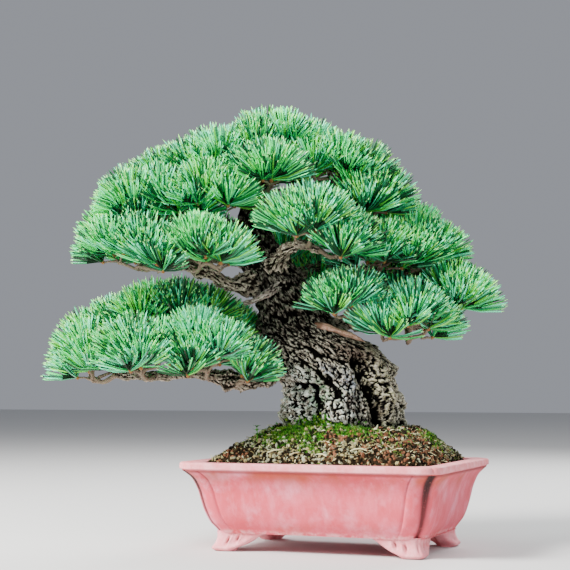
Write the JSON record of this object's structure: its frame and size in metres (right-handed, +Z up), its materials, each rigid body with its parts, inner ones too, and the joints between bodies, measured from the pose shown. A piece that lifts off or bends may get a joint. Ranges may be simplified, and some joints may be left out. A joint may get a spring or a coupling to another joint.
{
  "type": "japanese white pine bonsai",
  "caption": "White pine bonsai with a thick leaning trunk and layered pads of needles, in mounded soil in an unglazed pink clay pot with bracket feet.",
  "frame": {"origin": "middle of the plant's box seen from above, at the level of the undersides of the pot's feet", "axes": "+Z up, X along the pot's long side, -Y towards the side of the pot that faces the viewer; the tree's own front is turned 21.5 degrees from it about Z"},
  "size_m": [0.3588, 0.27, 0.3531],
  "materials": {
    "pink_clay": "matte",
    "soil_crumbs": "matte",
    "moss": "matte",
    "trunk_bark": "matte",
    "bough_bark": "matte",
    "dead_wood": "matte",
    "needles": "satin",
    "bud_scales": "matte"
  },
  "bodies": {
    "root": {"pot": "pink_clay", "soil": "soil_crumbs", "trunk": "trunk_bark", "low_left_bough": "bough_bark", "low_left_limb": "bough_bark", "low_left_rear_limb": "bough_bark", "upper_left_bough": "bough_bark", "left_crown_bough": "bough_bark", "front_bough": "bough_bark", "right_crown_bough": "bough_bark", "right_bough": "bough_bark", "low_right_bough": "bough_bark", "rear_left_bough": "bough_bark", "rear_right_bough": "bough_bark", "dead_stub": "dead_wood", "low_tip_foliage": "needles", "low_front_foliage": "needles", "low_middle_foliage": "needles", "low_inner_foliage": "needles", "low_outer_foliage": "needles", "low_crown_foliage": "needles", "low_rear_foliage": "needles", "low_rear_inner_foliage": "needles", "left_front_foliage": "needles", "left_near_foliage": "needles", "left_tip_foliage": "needles", "left_middle_foliage": "needles", "left_inner_foliage": "needles", "left_top_foliage": "needles", "left_rear_foliage": "needles", "rear_left_low_foliage": "needles", "top_left_foliage": "needles", "apex_foliage": "needles", "top_front_foliage": "needles", "top_right_foliage": "needles", "top_rear_foliage": "needles", "right_shoulder_foliage": "needles", "front_foliage": "needles", "front_tip_foliage": "needles", "right_middle_foliage": "needles", "right_outer_foliage": "needles", "right_rear_foliage": "needles", "low_right_inner_foliage": "needles", "low_right_front_foliage": "needles", "low_right_tip_foliage": "needles", "low_right_rear_foliage": "needles", "rear_foliage": "needles", "rear_middle_foliage": "needles", "rear_low_foliage": "needles"}
  },
  "joints": []
}
